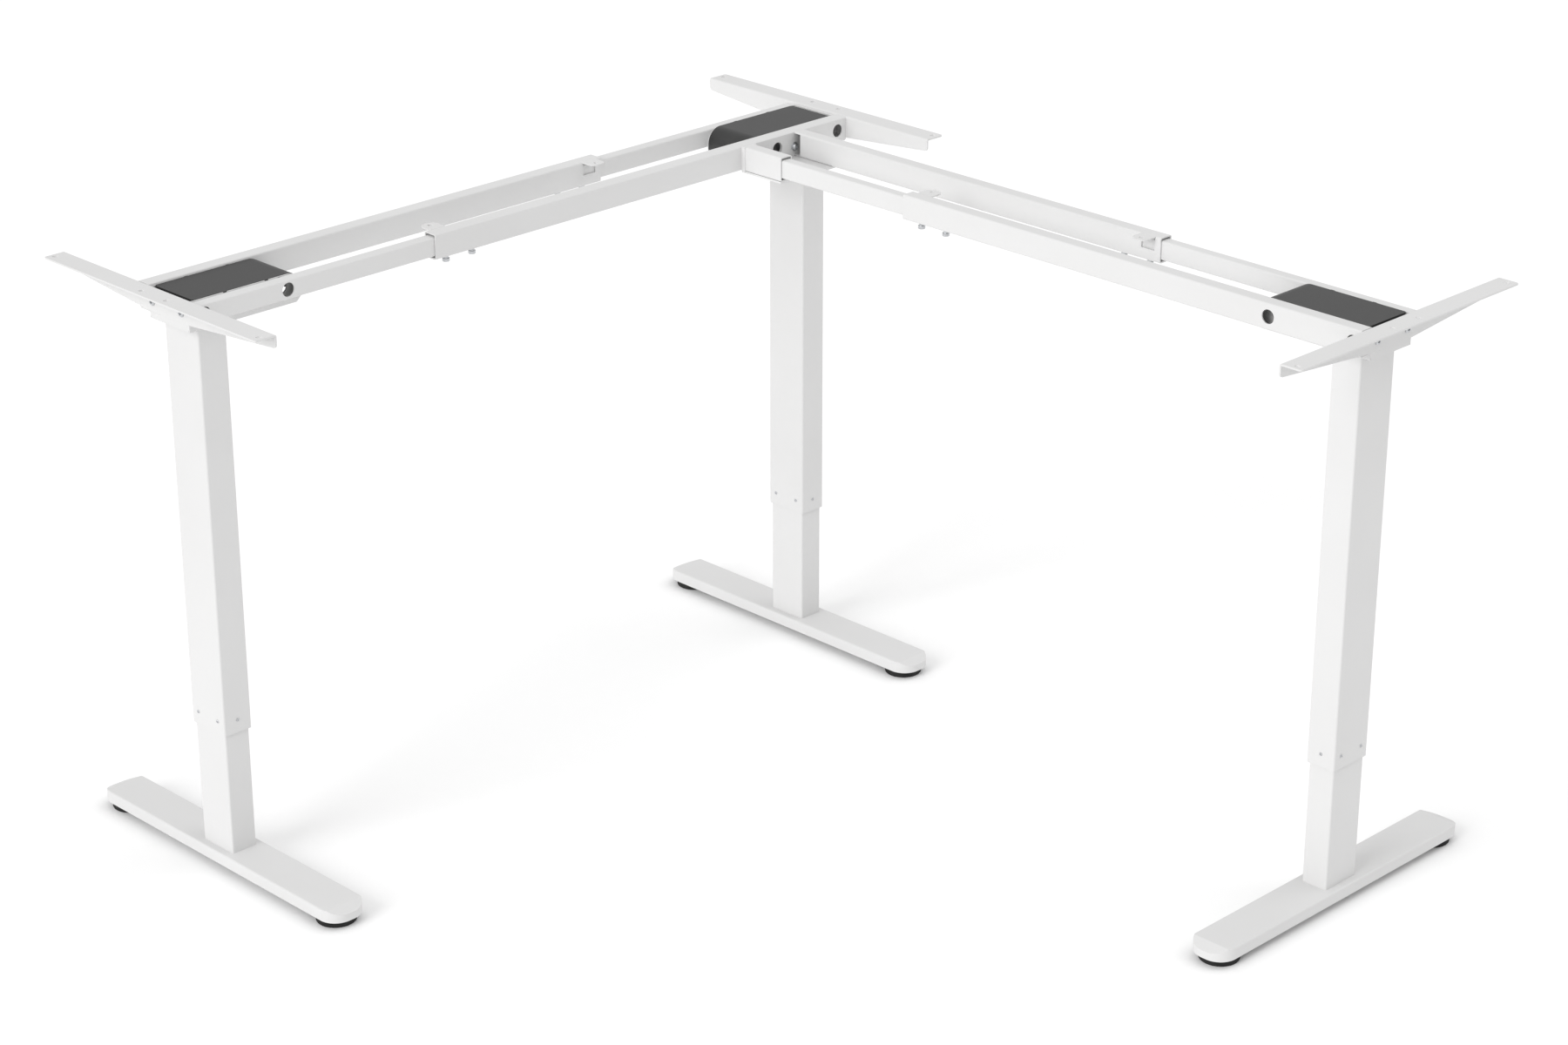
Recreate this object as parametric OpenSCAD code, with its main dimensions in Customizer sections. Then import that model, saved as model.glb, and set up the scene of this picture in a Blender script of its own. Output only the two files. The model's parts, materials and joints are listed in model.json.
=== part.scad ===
// L-shaped three-leg lifting frame for a height adjustable standing desk.
// Millimetres, +Z up. The origin is on the floor, at the centre of the frame's bounding box.

/* [Layout] */
// Corner leg centre to left leg centre, along -Y
main_arm = 1227; // [1227:1:1400]
// Corner leg centre to right leg centre, along +X
side_arm = 1258; // [1258:1:1400]
// How far the side arm's centre line lies from the corner leg's centre
side_shift = 125; // [124:1:130]
// Floor to the top of the frame, as stored
top_z = 934; // [920:1:960]

/* [Feet] */
// Length of each foot
foot_length = 593; // [560:1:640]
// Width of each foot
foot_width = 70; // [70:1:80]
// Height of the pressed foot channel
foot_height = 19.5; // [19:0.5:22]
// Gap from the floor to the foot channel
foot_lift = 12.5; // [12:0.5:14]
// Half length of the foot's flat top
foot_flat = 278; // [270:1:280]
// Height of the wall at the foot's end
foot_end_height = 12; // [10:0.5:14]
// Sheet thickness of the foot
foot_sheet = 3; // [2.5:0.1:3.2]
// Leg centre to levelling pad centre
pad_offset = 259; // [250:1:260]
// Diameter of a levelling pad
pad_d = 62; // [50:1:62]

/* [Columns] */
// Upper column tube, long side and short side
upper_size = [80, 50];
// Lower column tube, long side and short side
lower_size = [73, 44.5];
// Wall of both column tubes
column_wall = 1.5; // [1.2:0.1:1.5]
// Outer corner radius of both column tubes
column_corner = 3; // [2.5:0.5:4]
// Floor to the bottom edge of the upper tube, as stored
upper_bottom_z = 232; // [232:1:260]
// Length of the lower tube
lower_length = 650; // [600:1:650]
// Pitch diameter of the lead screw
screw_d = 14; // [12:1:14]
// Length of lead screw hanging below the drive tray
screw_hang = 564; // [540:1:570]

/* [Top brackets] */
// Half length of a tabletop bracket
bracket_half = 254.5; // [250:0.5:260]
// Leg centre to the bracket's web
bracket_web = 44.4; // [44.4:0.1:46]
// Leg centre to the bracket's outer edge
bracket_reach = 81.4; // [80:0.1:90]
// Sheet thickness of the bracket
bracket_sheet = 2.6; // [2:0.1:3]
// Depth of the bracket's web between its tapers
web_depth = 38.5; // [36:0.5:42]
// Depth of the bracket's web at its tips
web_tip_depth = 20; // [15:1:24]
// Half length of the web's full-depth stretch
web_flat = 45; // [45:1:100]
// Positions of the tabletop slots along the bracket
slot_at = [30, 245];
// Leg centre to the row of tabletop slots
slot_row = 68; // [64:1:70]
// Width and end-to-end length of a tabletop slot
slot_size = [7, 10];

/* [Rails] */
// Outer rail tube, width and height
sleeve_size = [25, 40];
// Inner rail tube, width and height
slider_size = [20, 30];
// Wall of both rail tubes
rail_wall = 2; // [1.5:0.1:2.2]
// Arm centre line to rail centre line
rail_offset = 58.5; // [58.5:0.1:60]
// Left leg centre to the open end of the main arm's front outer rail
main_front_gap = 392; // [391:1:400]
// Corner leg centre to the open end of the main arm's rear outer rail
main_rear_gap = 397; // [397:1:410]
// Corner leg centre to the open end of the side arm's front outer rail
side_front_gap = 428; // [426:1:450]
// Right leg centre to the open end of the side arm's rear outer rail
side_rear_gap = 412; // [411:1:430]
// How far each inner rail reaches into its outer rail, as stored
rail_overlap = 340; // [300:1:345]
// Diameter of the cable ports
port_d = 21.5; // [20:0.1:24]
// Each leg's centre to its inward cable port
inward_port = 118; // [112:1:122]
// The corner leg's centre to its outward cable port
corner_outward_port = 24.5; // [20:0.5:28]
// The other legs' centres to their outward cable ports
end_outward_port = 30.5; // [24:0.5:34]

/* [Drive] */
// Leg centre to the tray's inner end
tray_reach = 158; // [158:1:162]
// Depth of the tray's floor below the frame's top
tray_depth = 50.5; // [50:0.5:52]
// Sheet thickness of the tray
tray_sheet = 1.2; // [1:0.1:1.6]
// Depth of the cover's flat top below the frame's top
cover_drop = 3.5; // [3:0.5:5]
// Radius of the cover's rounded inner end
cover_round = 26; // [22:1:28]
// Motor diameter
motor_d = 38; // [36:1:38]
// Motor length
motor_length = 106; // [90:1:106]

/* [Hidden] */
$fn = 64;

powder_white = "whitesmoke";
moulded_black = "dimgray";
pad_black = "black";
zinc_plate = "gainsboro";
steel = "lightsteelblue";
die_cast = "gray";
acetal = "ivory";

// Thin overshoot that keeps cuts clear of coincident faces
cut = 1;
// Clearance between moving pieces
slip = 0.3;
// Radial play of a running fit
run = 0.05;

// Leg places in the corner leg's frame, and the turn that points each bracket outwards
leg_place = [[0, 0], [0, -main_arm], [side_arm, -side_shift]];
leg_turn = [0, 180, -90];
CORNER = 0;
LEFT = 1;
RIGHT = 2;

// The frame's bounding box in the corner leg's frame
box_x = [-foot_length / 2, side_arm + bracket_reach];
box_y = [-main_arm - bracket_reach, -side_shift + foot_length / 2];
box_centre = [(box_x[0] + box_x[1]) / 2, (box_y[0] + box_y[1]) / 2];

foot_top = foot_lift + foot_height;
lower_top = foot_top + lower_length;
upper_top = top_z - tray_depth;
lower_corner = column_corner - column_wall;
end_plate = 5;

pad_top = foot_lift + 1.5;
pad_edge = 1.5;
stud_r = 4;
stud_top = 28;
boss_r = 9;

foot_screw_at = [22, 12];
foot_screw_r = 3;
foot_screw_head = [5, 3];
foot_screw_top = foot_top + end_plate - 1;

glide_height = 30;
glide_lip = 2;
glide_recess = 0.8;
glide_corner = 1.5;
nut_height = 25;

// Worm drive: wheel on the lead screw, worm beside it, motor behind the worm
drive_z = top_z - 28;
wheel_r = 14.5;
wheel_half = 6;
worm_r = 4.5;
worm_half = 12;
worm_x = wheel_r + worm_r + slip;
shaft_r = 3;
shaft_in_motor = 40;
shaft_end = 20;
neck_r = 5;
neck_top = drive_z + 16;
box_from = [-20, -25, top_z - tray_depth + tray_sheet];
box_to = [30, 25, top_z - 10];
motor_front = box_from[1];
motor_flange = 5;
motor_boss = [8, 4];

screw_r = screw_d / 2;
screw_bottom = upper_top - screw_hang;

// One size of M8 screw holds the brackets, clamps the rails and joins the corner
bolt_r = 4;
bolt_length = 10.7;
bolt_head_r = 5.75;
tall_head = 5;
low_head = 2.8;
bolt_hole_r = bolt_r + 0.1;
bracket_bolt = [35, 23];
clamp_at = [29, 80];
clamp_stand_off = 6;
washer = [7.3, 1.5];

bend_r = bracket_sheet + 0.4;
bracket_corner = 4;
web_tip_r = 6;

rail_corner = 3;
slider_drop = (sleeve_size[1] - slider_size[1]) / 2;
main_rail_end = main_arm + bracket_web;
side_rail_end = side_arm + bracket_web;
beam_face = rail_offset + sleeve_size[0] / 2;

// Lug folded out of each open rail end
lug_start = 10;
lug_length = 28;
lug_reach = 27;
lug_round = 12;
lug_hole_d = 8;
lug_hole_reach = 16;
window_inset = 1;
window_z = [-22, -3];

// Corner connector
flange_sheet = 3;
socket_length = 89;
collar = 5.5;
bridge_sheet = 3;
relief = 16;
dome_y = 45.6;
dome_z = 24;

// In a leg's own frame the tray fills the space from its inner rail, on -X, to its outer rail, on +X
tray_from = slider_size[0] / 2 - rail_offset;
tray_to = rail_offset - sleeve_size[0] / 2;
tray_wall_drop = 4.2;
tray_chamfer = 11;
tray_round = cover_round + 0.6;
tray_port_r = port_d / 2 + 1.5;
tray_port_long = port_d / 2 + 4;

function outward_port(leg) = leg == CORNER ? corner_outward_port : end_outward_port;

cover_gap = 0.1;
cover_from = tray_from + tray_sheet + cover_gap;
cover_to = tray_to - tray_sheet - cover_gap;
cover_inner_end = -tray_reach + 0.6;
cover_outer_end = 35;
cover_sheet = 2;
cover_skirt = 8;
cover_low = -46;
cover_corner = 4;
hook = [6, 1.6];
hook_at = [-21, -95];

// ---- shared shapes ----

// Rounded rectangle made of bars and discs, so its corners are true arcs
module round_rect(w, h, r) {
    square([w - 2 * r, h], center = true);
    square([w, h - 2 * r], center = true);
    for (x = [-1, 1], y = [-1, 1])
        translate([x * (w / 2 - r), y * (h / 2 - r)])
            circle(r);
}

// Hollow rounded rectangle
module tube_section(size, wall, r) {
    difference() {
        round_rect(size[0], size[1], r);
        round_rect(size[0] - 2 * wall, size[1] - 2 * wall, max(r - wall, 0.5));
    }
}

// Straight ring of a tube section, from z0 to z1
module sleeve_ring(outer, inner, r_out, r_in, z0, z1) {
    translate([0, 0, z0])
        linear_extrude(z1 - z0)
            difference() {
                round_rect(outer[0], outer[1], r_out);
                round_rect(inner[0], inner[1], r_in);
            }
}

// Section in Y and Z, drawn along X from x0 to x1
module along_x(x0, x1) {
    translate([x0, 0, 0])
        rotate([90, 0, 90])
            linear_extrude(x1 - x0)
                children();
}

// Outline in X and Z, drawn along Y from y0 to y1
module along_y(y0, y1) {
    translate([0, y1, 0])
        rotate([90, 0, 0])
            linear_extrude(y1 - y0)
                children();
}

// Cylinder along X, between two x values
module rod_x(r, x0, x1) {
    translate([x0, 0, 0])
        rotate([0, 90, 0])
            cylinder(h = x1 - x0, r = r);
}

// Cylinder along Y, between two y values
module rod_y(r, y0, y1) {
    translate([0, y1, 0])
        rotate([90, 0, 0])
            cylinder(h = y1 - y0, r = r);
}

// Box between two opposite corners
module box_between(a, b) {
    translate(a)
        cube(b - a);
}

// Moves the corner leg's frame to the part's own origin
module placed() {
    translate([-box_centre[0], -box_centre[1], 0])
        children();
}

// Puts a leg piece at its leg. In a leg's own frame the bracket is on +Y and the arm runs to -Y.
module at_leg(leg) {
    placed()
        translate(leg_place[leg])
            rotate([0, 0, leg_turn[leg]])
                children();
}

// Main arm's frame: +X runs from the corner leg to the left leg, Z is 0 at the frame's top
module at_main_arm() {
    placed()
        translate([0, 0, top_z])
            rotate([0, 0, -90])
                children();
}

// Side arm's frame: +X runs from the corner leg to the right leg, Z is 0 at the frame's top
module at_side_arm() {
    placed()
        translate([0, -side_shift, top_z])
            children();
}

// ---- feet ----

// Side view of the foot, set in by t from its outside
module foot_side(t) {
    slope = (foot_height - foot_end_height) / (foot_length / 2 - foot_flat);
    slant = sqrt(1 + slope * slope);
    end_x = foot_length / 2 - t;
    end_z = foot_end_height + t * (slope - slant);
    flat_x = foot_flat - t * (slant - 1) / slope;
    flat_z = foot_height - t;
    polygon([
        [-end_x, -cut], [end_x, -cut], [end_x, end_z], [flat_x, flat_z], [-flat_x, flat_z], [-end_x, end_z]
    ]);
}

// Solid foot shape, set in by t from the outside of the channel
module foot_form(t) {
    end_round = 30;
    edge_round = 2.5;
    intersection() {
        translate([0, 0, -cut])
            linear_extrude(foot_height + 2 * cut)
                round_rect(foot_length - 2 * t, foot_width - 2 * t, end_round - t);
        along_y(-foot_width, foot_width)
            foot_side(t);
        along_x(-foot_length, foot_length)
            translate([0, foot_height / 2 - t - cut])
                round_rect(foot_width - 2 * t, foot_height + 2 * cut, edge_round);
    }
}

module foot(leg) {
    color(powder_white)
        at_leg(leg)
            difference() {
                union() {
                    translate([0, 0, foot_lift])
                        difference() {
                            intersection() {
                                foot_form(0);
                                translate([-foot_length, -foot_width, 0])
                                    cube([2 * foot_length, 2 * foot_width, 2 * foot_height]);
                            }
                            foot_form(foot_sheet);
                        }
                    for (x = [-1, 1])
                        translate([x * pad_offset, 0, pad_top + slip])
                            cylinder(h = foot_top - foot_sheet - pad_top - slip, r = boss_r);
                }
                for (x = [-1, 1])
                    translate([x * pad_offset, 0, pad_top])
                        cylinder(h = foot_top - foot_sheet - pad_top, r = stud_r + run);
                for (x = [-1, 1], y = [-1, 1])
                    translate([x * foot_screw_at[0], y * foot_screw_at[1], foot_lift])
                        cylinder(h = foot_height + cut, r = foot_screw_r + 0.1);
            }
}

module foot_screws(leg) {
    color(zinc_plate)
        at_leg(leg)
            for (x = [-1, 1], y = [-1, 1])
                translate([x * foot_screw_at[0], y * foot_screw_at[1], 0]) {
                    translate([0, 0, foot_top - foot_sheet - foot_screw_head[1]])
                        cylinder(h = foot_screw_head[1], r = foot_screw_head[0]);
                    translate([0, 0, foot_top - foot_sheet])
                        cylinder(h = foot_screw_top - foot_top + foot_sheet, r = foot_screw_r);
                }
}

// Round pad with a softened rim, on a threaded stud
module pad(leg, side) {
    r = pad_d / 2;
    color(pad_black)
        at_leg(leg)
            translate([side * pad_offset, 0, 0])
                rotate_extrude()
                    polygon([
                        [0, 0], [r - pad_edge, 0], [r, pad_edge], [r, pad_top - pad_edge],
                        [r - pad_edge, pad_top], [stud_r, pad_top], [stud_r, stud_top], [0, stud_top]
                    ]);
}

// ---- columns ----

module lower_tube(leg) {
    inner = lower_size - 2 * [column_wall, column_wall];
    color(powder_white)
        at_leg(leg)
            difference() {
                union() {
                    translate([0, 0, foot_top])
                        linear_extrude(lower_length)
                            tube_section(lower_size, column_wall, column_corner);
                    translate([0, 0, foot_top])
                        linear_extrude(end_plate)
                            round_rect(inner[0] + column_wall, inner[1] + column_wall, lower_corner);
                }
                for (x = [-1, 1], y = [-1, 1])
                    translate([x * foot_screw_at[0], y * foot_screw_at[1], foot_top - cut])
                        cylinder(h = end_plate + 2 * cut, r = foot_screw_r + 0.1);
            }
}

// Lead nut, a block that plugs the lower tube's top
module nut(leg) {
    play = 0.1;
    block = lower_size - 2 * [column_wall + play, column_wall + play];
    color(acetal)
        at_leg(leg)
            translate([0, 0, lower_top - nut_height])
                linear_extrude(nut_height)
                    difference() {
                        round_rect(block[0], block[1], lower_corner);
                        circle(screw_r + run);
                    }
}

// Glide around the top of the lower tube, with a lip over its edge
module top_glide(leg) {
    outer = upper_size - 2 * [column_wall + slip, column_wall + slip];
    lip_inner = lower_size - 2 * [column_wall, column_wall];
    color(acetal)
        at_leg(leg) {
            sleeve_ring(outer, lower_size, glide_corner, column_corner, lower_top - glide_height, lower_top);
            sleeve_ring(outer, lip_inner, glide_corner, lower_corner, lower_top, lower_top + glide_lip);
        }
}

// Glide inside the bottom of the upper tube
module bottom_glide(leg) {
    outer = upper_size - 2 * [column_wall, column_wall];
    inner = lower_size + 2 * [slip, slip];
    z0 = upper_bottom_z + glide_recess;
    color(acetal)
        at_leg(leg)
            sleeve_ring(outer, inner, lower_corner, column_corner + slip, z0, z0 + glide_height);
}

module upper_tube(leg) {
    color(powder_white)
        at_leg(leg)
            translate([0, 0, upper_bottom_z])
                linear_extrude(upper_top - upper_bottom_z)
                    tube_section(upper_size, column_wall, column_corner);
}

// Lead screw with its worm wheel moulded on the end, all at pitch diameters
module lead_screw(leg) {
    wheel_low = drive_z - wheel_half;
    wheel_high = drive_z + wheel_half;
    color(steel)
        at_leg(leg)
            rotate_extrude()
                polygon([
                    [0, screw_bottom], [screw_r, screw_bottom], [screw_r, wheel_low],
                    [wheel_r, wheel_low], [wheel_r, wheel_high], [neck_r, wheel_high],
                    [neck_r, neck_top], [0, neck_top]
                ]);
}

// ---- drive ----

// Quarter disc that rounds an inner end: it touches y0 at its side and z1 at its top
module quarter_round(y0, z1, r) {
    intersection() {
        translate([y0 + r, z1 - r])
            circle(r);
        translate([y0, z1 - r])
            square([r, r]);
    }
}

// Side view of the tray's walls, with the rounded top and chamfered bottom of the inner end
module tray_side() {
    difference() {
        union() {
            translate([-tray_reach + tray_round, -tray_depth])
                square([bracket_web + tray_reach - tray_round, tray_depth - tray_wall_drop]);
            translate([-tray_reach, -tray_depth])
                square([tray_round, tray_depth - tray_wall_drop - tray_round]);
            quarter_round(-tray_reach, -tray_wall_drop, tray_round);
        }
        polygon([
            [-tray_reach - cut, -tray_depth - cut], [-tray_reach + tray_chamfer + cut, -tray_depth - cut],
            [-tray_reach - cut, -tray_depth + tray_chamfer + cut]
        ]);
    }
}

// Folded tray: floor, two side walls and the end wall that the bracket bolts to
module tray(leg) {
    wall_sheet = 2;
    wall_cut = [4.5, 3.5];
    screw_hole_r = screw_r + 2;
    bolt_reach = 12;
    bolt_z = -bracket_bolt[1];
    port_z = -sleeve_size[1] / 2;
    color(powder_white)
        at_leg(leg)
            translate([0, 0, top_z])
                difference() {
                    union() {
                        for (x = [tray_from, tray_to - tray_sheet])
                            translate([x, 0, 0])
                                along_x(0, tray_sheet)
                                    tray_side();
                        box_between([tray_from + tray_sheet / 2, -tray_reach + tray_chamfer, -tray_depth],
                            [tray_to - tray_sheet / 2, bracket_web, -tray_depth + tray_sheet]);
                        along_y(bracket_web - wall_sheet, bracket_web)
                            polygon([
                                [tray_from, -tray_wall_drop], [tray_from, -tray_depth + wall_cut[1]],
                                [tray_from + wall_cut[0], -tray_depth], [tray_to - wall_cut[0], -tray_depth],
                                [tray_to, -tray_depth + wall_cut[1]], [tray_to, -tray_wall_drop]
                            ]);
                    }
                    translate([0, 0, -tray_depth - cut])
                        cylinder(h = tray_sheet + 2 * cut, r = screw_hole_r);
                    for (x = [-1, 1])
                        translate([x * bracket_bolt[0], 0, bolt_z])
                            rod_y(bolt_hole_r, bracket_web - bolt_reach, bracket_web + cut);
                    translate([0, -inward_port, port_z])
                        rod_x(tray_port_long, tray_from - cut, tray_to + cut);
                    translate([0, outward_port(leg), port_z])
                        rod_x(tray_port_r, tray_from - cut, tray_to + cut);
                    for (y = hook_at)
                        box_between([tray_from - cut, y - hook[0] / 2 - slip, -cover_drop - hook[1] - slip],
                            [tray_to + cut, y + hook[0] / 2 + slip, 0]);
                }
}

// Side view of the cover's skin: a flat top, a quarter round and a short drop at the inner end
module cover_skin(y0, y1, top, round_r, low) {
    translate([y0 + round_r, low])
        square([y1 - y0 - round_r, -top - low]);
    translate([y0, low])
        square([round_r, -top - round_r - low]);
    quarter_round(y0, -top, round_r);
}

// Side view of the cover's sheet. Its skirt is deep at the rounded end and shallow along the sides.
module cover_sheet_side() {
    drop_at_end = cover_low + tray_chamfer - 4;
    intersection() {
        difference() {
            cover_skin(cover_inner_end, cover_outer_end, cover_drop, cover_round, cover_low);
            cover_skin(cover_inner_end + cover_sheet, cover_outer_end - cover_sheet, cover_drop + cover_sheet,
                cover_round - cover_sheet, cover_low - cut);
        }
        union() {
            translate([cover_inner_end, drop_at_end])
                square([cover_round + cut, -cover_low]);
            translate([cover_inner_end + cover_round, -cover_drop - cover_skirt])
                square([cover_outer_end - cover_inner_end, cover_skirt + cut]);
        }
    }
}

module cover(leg) {
    width = cover_to - cover_from;
    reach = 2 * (cover_outer_end - cover_inner_end);
    color(moulded_black)
        at_leg(leg)
            translate([0, 0, top_z]) {
                intersection() {
                    along_x(cover_from, cover_to)
                        cover_sheet_side();
                    translate([(cover_from + cover_to) / 2, cover_outer_end - reach / 2, cover_low])
                        linear_extrude(-cover_low)
                            round_rect(width, reach, cover_corner);
                }
                for (y = hook_at, x = [tray_from, cover_to - cover_sheet])
                    box_between([x, y - hook[0] / 2, -cover_drop - hook[1]],
                        [x + tray_sheet + cover_gap + cover_sheet, y + hook[0] / 2, -cover_drop]);
            }
}

// Die-cast housing with a bore for the wheel, one for the worm and plain bearing bores
module gearbox(leg) {
    play = 0.7;
    side_play = 2;
    back_wall = 4;
    color(die_cast)
        at_leg(leg)
            difference() {
                box_between(box_from, box_to);
                translate([0, 0, box_from[2] - cut])
                    cylinder(h = drive_z - box_from[2] + cut, r = screw_r + run);
                translate([0, 0, drive_z - wheel_half - side_play])
                    cylinder(h = 2 * (wheel_half + side_play), r = wheel_r + play);
                translate([0, 0, drive_z])
                    cylinder(h = neck_top - drive_z + slip, r = neck_r + run);
                translate([worm_x, 0, drive_z])
                    rod_y(worm_r + slip, -worm_half - play, worm_half + play);
                translate([worm_x, 0, drive_z])
                    rod_y(shaft_r + run, box_from[1] - cut, box_to[1] - back_wall);
            }
}

// Motor can with its flange, and a bore for the rotor end of the worm shaft
module motor(leg) {
    r = motor_d / 2;
    motor_back = motor_front - motor_length;
    color(steel)
        at_leg(leg)
            translate([worm_x, 0, drive_z])
                difference() {
                    union() {
                        rod_y(r, motor_back, motor_front);
                        box_between([-r, motor_front - motor_flange, -r], [r, motor_front, r]);
                        rod_y(motor_boss[0], motor_back - motor_boss[1], motor_back);
                    }
                    rod_y(shaft_r + run, motor_front - shaft_in_motor - 1, motor_front + cut);
                }
}

module worm_shaft(leg) {
    color(steel)
        at_leg(leg)
            translate([worm_x, 0, drive_z]) {
                rod_y(shaft_r, motor_front - shaft_in_motor, shaft_end);
                rod_y(worm_r, -worm_half, worm_half);
            }
}

// ---- brackets ----

// L-section with a rounded bend, in Y and Z
module bracket_section() {
    y0 = bracket_web;
    translate([y0 + bend_r, -bracket_sheet])
        square([bracket_reach - y0 - bend_r, bracket_sheet]);
    translate([y0, -web_depth])
        square([bracket_sheet, web_depth - bend_r]);
    intersection() {
        translate([y0 + bend_r, -bend_r])
            difference() {
                circle(bend_r);
                circle(bend_r - bracket_sheet);
            }
        translate([y0, -bend_r])
            square([bend_r, bend_r]);
    }
}

// Front view of the bracket: a web that tapers to both ends, with its lower tips rounded off
module web_outline() {
    lean = atan2(web_depth - web_tip_depth, bracket_half - web_flat);
    tip_z = -web_tip_depth + web_tip_r / cos(lean) - web_tip_r * tan(lean);
    inner = web_tip_r * sin(lean);
    outer = web_tip_r + cut;
    difference() {
        polygon([
            [-bracket_half, cut], [-bracket_half, -web_tip_depth], [-web_flat, -web_depth],
            [web_flat, -web_depth], [bracket_half, -web_tip_depth], [bracket_half, cut]
        ]);
        for (side = [-1, 1])
            translate([side * (bracket_half - web_tip_r), tip_z])
                difference() {
                    translate([min(side * inner, side * outer), -web_tip_r - 1])
                        square([outer - inner, web_tip_r + 1]);
                    circle(web_tip_r);
                }
    }
}

// Slot along Y, through the flange
module tabletop_slot() {
    straight = slot_size[1] - slot_size[0];
    translate([0, 0, -bracket_sheet - cut])
        linear_extrude(bracket_sheet + 2 * cut) {
            square([slot_size[0], straight], center = true);
            for (y = [-1, 1])
                translate([0, y * straight / 2])
                    circle(slot_size[0] / 2);
        }
}

module bracket(leg) {
    depth = bracket_reach - bracket_web;
    color(powder_white)
        at_leg(leg)
            translate([0, 0, top_z])
                difference() {
                    intersection() {
                        along_x(-bracket_half, bracket_half)
                            bracket_section();
                        along_y(bracket_web - cut, bracket_reach + cut)
                            web_outline();
                        translate([0, bracket_web - depth / 2, -web_depth - cut])
                            linear_extrude(web_depth + 2 * cut)
                                translate([0, depth / 2])
                                    round_rect(2 * bracket_half, 2 * depth, bracket_corner);
                    }
                    for (x = slot_at, side = [-1, 1])
                        translate([side * x, slot_row, 0])
                            tabletop_slot();
                    for (x = [-1, 1])
                        translate([x * bracket_bolt[0], 0, -bracket_bolt[1]])
                            rod_y(bolt_hole_r, bracket_web - cut, bracket_web + bracket_sheet + cut);
                }
}

// ---- screws ----

// M8 screw with its head's underside at z = 0, pointing up
module screw(head) {
    translate([0, 0, -head])
        cylinder(h = head, r = bolt_head_r);
    cylinder(h = bolt_length, r = bolt_r);
}

// Two screws through the bracket's web into the tray
module bracket_bolts(leg) {
    at_leg(leg)
        for (x = [-1, 1])
            translate([x * bracket_bolt[0], bracket_web + bracket_sheet, top_z - bracket_bolt[1]])
                rotate([90, 0, 0])
                    screw(low_head);
}

// Two clamp screws below an outer rail, in its arm's frame
module clamp_screws(y, open_x, inward) {
    for (d = clamp_at)
        translate([open_x + inward * d, y, -sleeve_size[1] - clamp_stand_off])
            screw(tall_head);
}

module corner_screws() {
    color(zinc_plate) {
        bracket_bolts(CORNER);
        at_main_arm()
            clamp_screws(rail_offset, main_arm - main_front_gap, -1);
        at_side_arm() {
            clamp_screws(rail_offset, side_arm - side_rear_gap, -1);
            translate([beam_face + flange_sheet, dome_y, -dome_z]) {
                rod_x(washer[0], 0, washer[1]);
                translate([washer[1], 0, 0])
                    rotate([0, -90, 0])
                        screw(tall_head);
            }
        }
    }
}

module left_screws() {
    color(zinc_plate) {
        bracket_bolts(LEFT);
        at_main_arm()
            clamp_screws(-rail_offset, main_rear_gap, 1);
    }
}

module right_screws() {
    color(zinc_plate) {
        bracket_bolts(RIGHT);
        at_side_arm()
            clamp_screws(-rail_offset, side_front_gap, 1);
    }
}

// ---- rails ----

// Plain rail tube from x0 to x1, centred on y, with its top at z = -drop
module rail(size, y, x0, x1, drop) {
    along_x(x0, x1)
        translate([y, -drop - size[1] / 2])
            tube_section(size, rail_wall, rail_corner);
}

// Cable port through both walls of a rail
module port(x, y) {
    translate([x, y, -sleeve_size[1] / 2])
        rod_y(port_d / 2, -sleeve_size[0], sleeve_size[0]);
}

// Lug and its hole. It starts near the open end, runs inward, and points from the wall towards y = 0.
module lug(y, open_x, inward) {
    side = y > 0 ? -1 : 1;
    wall_y = y + side * (sleeve_size[0] / 2 - rail_wall);
    translate([open_x + inward * lug_start, wall_y, -rail_wall])
        mirror([inward < 0 ? 1 : 0, 0, 0])
            mirror([0, side < 0 ? 1 : 0, 0])
                linear_extrude(rail_wall)
                    difference() {
                        union() {
                            square([lug_length, lug_reach + rail_wall - lug_round]);
                            translate([lug_round, 0])
                                square([lug_length - 2 * lug_round, lug_reach + rail_wall]);
                            for (x = [lug_round, lug_length - lug_round])
                                translate([x, lug_reach + rail_wall - lug_round])
                                    circle(lug_round);
                        }
                        translate([lug_length / 2, lug_hole_reach + rail_wall])
                            circle(lug_hole_d / 2);
                    }
}

// Outer rail: tube with a folded lug and its window near the open end, and two clamp screw holes
module sleeve(y, open_x, closed_x) {
    inward = closed_x > open_x ? 1 : -1;
    side = y > 0 ? -1 : 1;
    wall_y = y + side * sleeve_size[0] / 2;
    window_start = open_x + inward * (lug_start + window_inset);
    window_end = open_x + inward * (lug_start + lug_length - window_inset);
    difference() {
        rail(sleeve_size, y, min(open_x, closed_x), max(open_x, closed_x), 0);
        box_between([min(window_start, window_end), wall_y - 1.5 * rail_wall, window_z[0]],
            [max(window_start, window_end), wall_y + 1.5 * rail_wall, window_z[1]]);
        for (d = clamp_at)
            translate([open_x + inward * d, y, -sleeve_size[1] - cut])
                cylinder(h = rail_wall + 2 * cut, r = bolt_hole_r);
    }
    lug(y, open_x, inward);
}

module main_front_sleeve() {
    color(powder_white)
        at_main_arm()
            difference() {
                sleeve(rail_offset, main_arm - main_front_gap, -bracket_web);
                port(inward_port, rail_offset);
                port(-corner_outward_port, rail_offset);
                translate([0, 0, -dome_z])
                    translate([side_shift - dome_y, 0, 0])
                        rod_y(bolt_hole_r, rail_offset, beam_face + cut);
            }
}

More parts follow.
